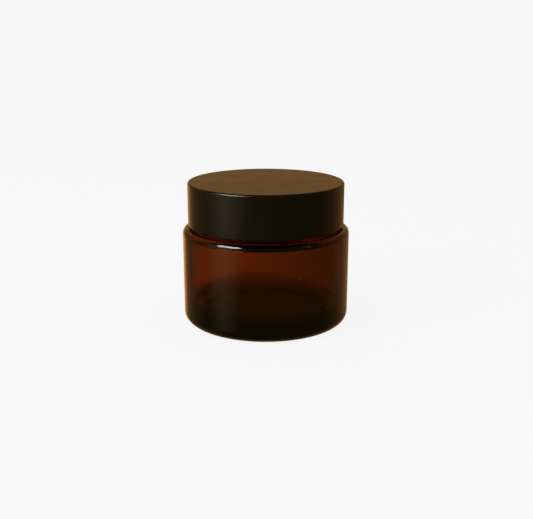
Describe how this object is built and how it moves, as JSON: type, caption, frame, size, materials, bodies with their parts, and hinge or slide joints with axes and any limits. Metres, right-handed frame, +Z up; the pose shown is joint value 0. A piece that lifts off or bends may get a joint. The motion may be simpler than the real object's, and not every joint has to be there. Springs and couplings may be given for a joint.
{
  "type": "cosmetic cream jar",
  "caption": "Straight-sided amber glass cream jar with a black screw lid, a foam liner and a plug-in sealing disc with a pull tab.",
  "frame": {"origin": "centre of the ring that the jar stands on, at the height of the table", "axes": "+Z up along the jar's axis, towards the lid"},
  "size_m": [0.06, 0.06, 0.051],
  "materials": {
    "amber_glass": "clear moulded glass, dark amber, fire polished",
    "lid_black": "fine matt texture, moulded",
    "inner_cap_black": "plain moulded",
    "liner_foam": "closed-cell foam, soft",
    "natural_plastic": "translucent natural moulded"
  },
  "bodies": {
    "jar": {"glass_jar": "amber_glass"},
    "liner": {"foam_liner": "liner_foam"},
    "lid": {"lid_shell": "lid_black", "inner_cap": "inner_cap_black"},
    "disc": {"sealing_disc": "natural_plastic"},
    "tab": {"pull_tab": "natural_plastic"}
  },
  "joints": [
    {"name": "lid_rise", "type": "slide", "parent": "jar", "child": "liner", "axis": [0, 0, 1], "range_m": [0, 0.0255]},
    {"name": "lid_turn", "type": "hinge", "parent": "liner", "child": "lid", "pos_m": [0, 0, 0.0474], "axis": [0, 0, 1], "range_deg": [0, 1800]},
    {"name": "disc_lift", "type": "slide", "parent": "jar", "child": "disc", "axis": [0, 0, 1], "range_m": [0, 0.0061]},
    {"name": "tab_raise", "type": "hinge", "parent": "disc", "child": "tab", "pos_m": [-0.0056, 0, 0.0455], "axis": [0, -1, 0], "range_deg": [0, 76]}
  ],
  "couplings": [
    {"joint": "lid_rise", "follows": "lid_turn", "m_per_rad": 0.00080851},
    {"joint": "disc_lift", "follows": "lid_turn", "m_per_rad": 0.00019099},
    {"joint": "tab_raise", "follows": "lid_turn", "ratio": 0.041667}
  ]
}
